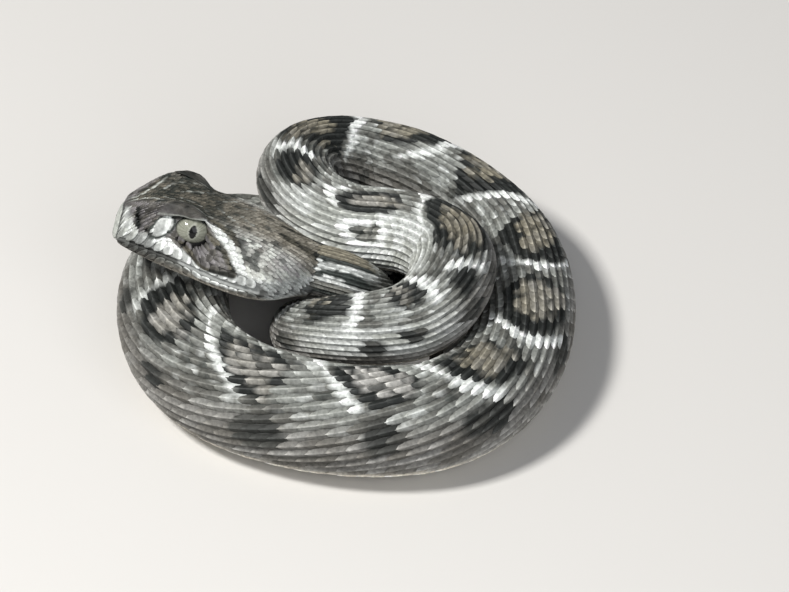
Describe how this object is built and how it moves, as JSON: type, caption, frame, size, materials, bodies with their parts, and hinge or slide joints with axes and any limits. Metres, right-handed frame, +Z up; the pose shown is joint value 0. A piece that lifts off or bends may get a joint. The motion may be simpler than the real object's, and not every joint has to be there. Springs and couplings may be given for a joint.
{
  "type": "western diamondback rattlesnake",
  "caption": "Young western diamondback rattlesnake, life size and still, coiled on its belly with the head resting on the coil and the rattle tucked under it.",
  "frame": {"origin": "centre of the coil on the ground under it", "axes": "+Z is up; the head points to -X, and the picture was taken from -Y, looking down"},
  "size_m": [0.05, 0.0496, 0.0226],
  "materials": {
    "skin": "satin",
    "tail_skin": "satin",
    "eye": "gloss",
    "rattle_horn": "satin"
  },
  "bodies": {
    "root": {"head": "skin", "eye_left": "eye", "eye_right": "eye", "neck": "skin", "body_1": "skin", "body_2": "skin", "body_3": "skin", "body_4": "skin", "body_5": "skin", "body_6": "skin", "body_7": "skin", "body_8": "skin", "tail": "tail_skin", "rattle": "rattle_horn"}
  },
  "joints": []
}
